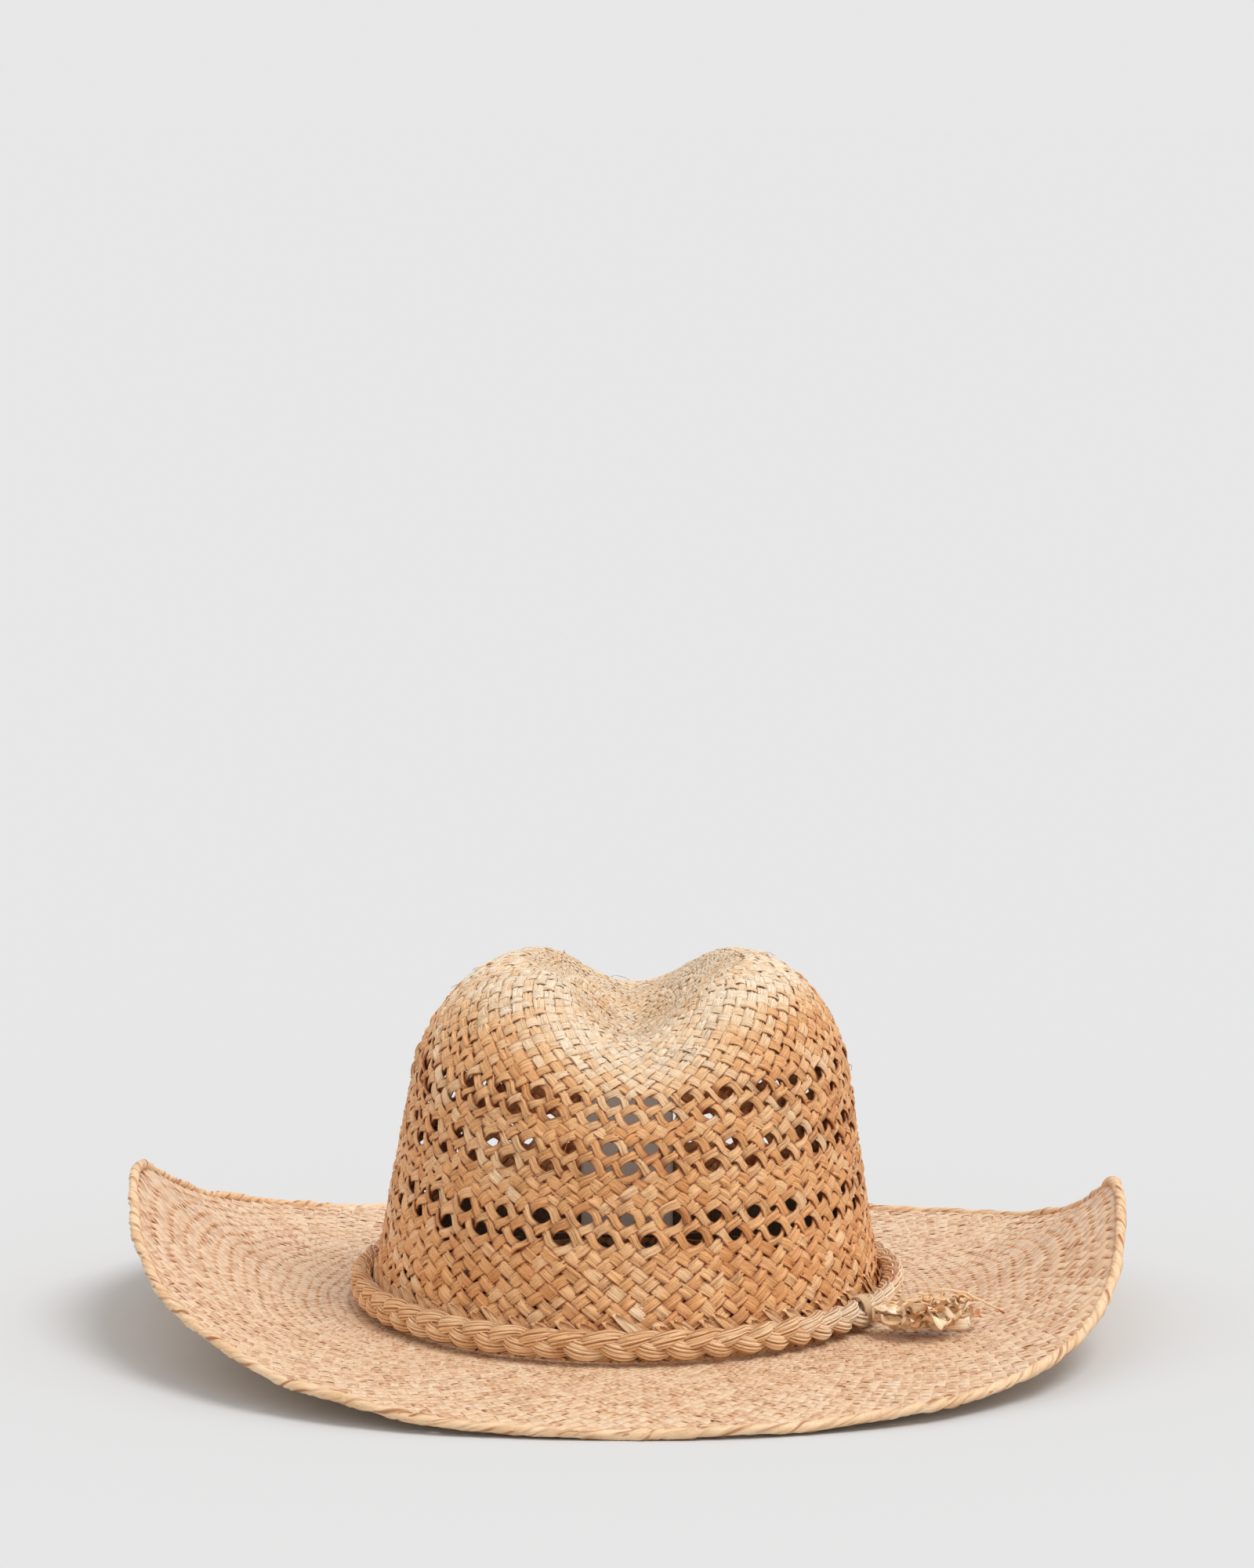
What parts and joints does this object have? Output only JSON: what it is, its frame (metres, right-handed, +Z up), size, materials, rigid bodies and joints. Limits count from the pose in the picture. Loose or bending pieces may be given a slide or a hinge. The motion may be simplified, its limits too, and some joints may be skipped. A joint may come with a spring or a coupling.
{
  "type": "cowboy hat",
  "caption": "Woven straw cowboy hat with a creased crown, ventilation holes, a curled brim with a rolled edge and a plaited band with a tassel.",
  "frame": {"origin": "under the middle of the hat, at the height of the surface it stands on", "axes": "+Z up through the crown, front of the hat towards -Y, +X towards the right when seen from the front"},
  "size_m": [0.3402, 0.3722, 0.1256],
  "materials": {
    "crown_straw": "woven flat straw strips, satin",
    "brim_straw": "finer woven straw, satin",
    "edge_straw": "twisted straw binding, satin",
    "wire": "drawn steel wire",
    "grosgrain": "ribbed dark brown ribbon",
    "thread": "sewing thread",
    "label": "blank woven label",
    "plait_straw": "plaited straw strands, satin",
    "tassel_straw": "crinkled cut straw"
  },
  "bodies": {
    "hat": {"crown_weave": "crown_straw", "crown_foot_ends": "crown_straw", "brim_weave": "brim_straw", "edge_roll": "edge_straw", "brim_wire": "wire", "wire_sleeve": "wire", "sweatband": "grosgrain", "sweatband_stitches": "thread"},
    "label": {"main_label": "label", "label_stitches": "thread"},
    "hat_band": {"hat_band_plait": "plait_straw", "band_joint_wrap": "plait_straw"},
    "tassel_root": {"tassel_wrap": "tassel_straw"},
    "tassel_fan": {"tassel_ends": "tassel_straw", "tassel_long_strand": "tassel_straw"}
  },
  "joints": [
    {"name": "band_lift", "type": "slide", "parent": "hat", "child": "hat_band", "axis": [0, 0, 1], "range_m": [0, 0.13]},
    {"name": "tassel_swing", "type": "hinge", "parent": "hat_band", "child": "tassel_root", "pos_m": [0.08498, -0.06073, 0.01355], "axis": [0, 0, 1], "range_deg": [-12, 12], "stiffness_Nm_per_rad": 0.0005},
    {"name": "tassel_lift", "type": "hinge", "parent": "tassel_root", "child": "tassel_fan", "pos_m": [0.08498, -0.06073, 0.01355], "axis": [-0.3256, -0.9455, 0], "range_deg": [0, 60]},
    {"name": "label_flap", "type": "hinge", "parent": "hat", "child": "label", "pos_m": [0, 0.0978, 0.0085], "axis": [1, 0, 0], "range_deg": [0, 70], "stiffness_Nm_per_rad": 0.002, "springref_deg": -17.19}
  ]
}
